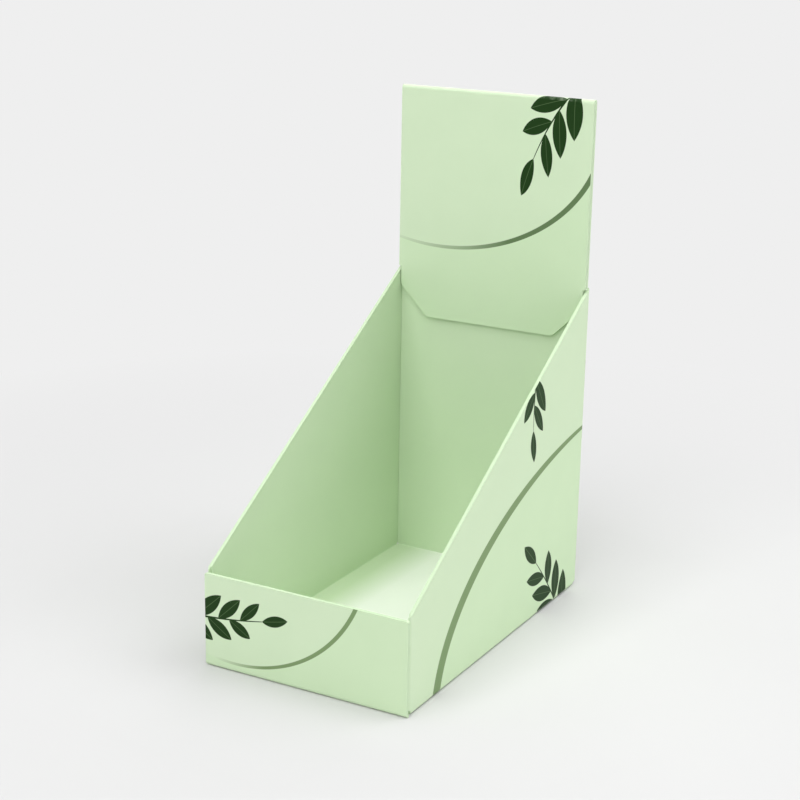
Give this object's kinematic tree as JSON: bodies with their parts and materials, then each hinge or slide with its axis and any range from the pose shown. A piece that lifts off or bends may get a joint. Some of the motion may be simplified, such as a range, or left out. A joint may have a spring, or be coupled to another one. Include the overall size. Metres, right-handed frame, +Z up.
{
  "type": "display box",
  "caption": "Folded card counter display box with a low front panel, tapered side walls and a tall double header at the back, open on top.",
  "frame": {"origin": "middle of the footprint, on the surface that the box stands on", "axes": "+Z up, the low front panel faces -Y, +X to the right as seen from the front"},
  "size_m": [0.11, 0.187, 0.258],
  "materials": {
    "printed_card": "pale green matt print on fine corrugated card, with paler cut edges"
  },
  "bodies": {
    "root": {"folded_box": "printed_card"}
  },
  "joints": []
}
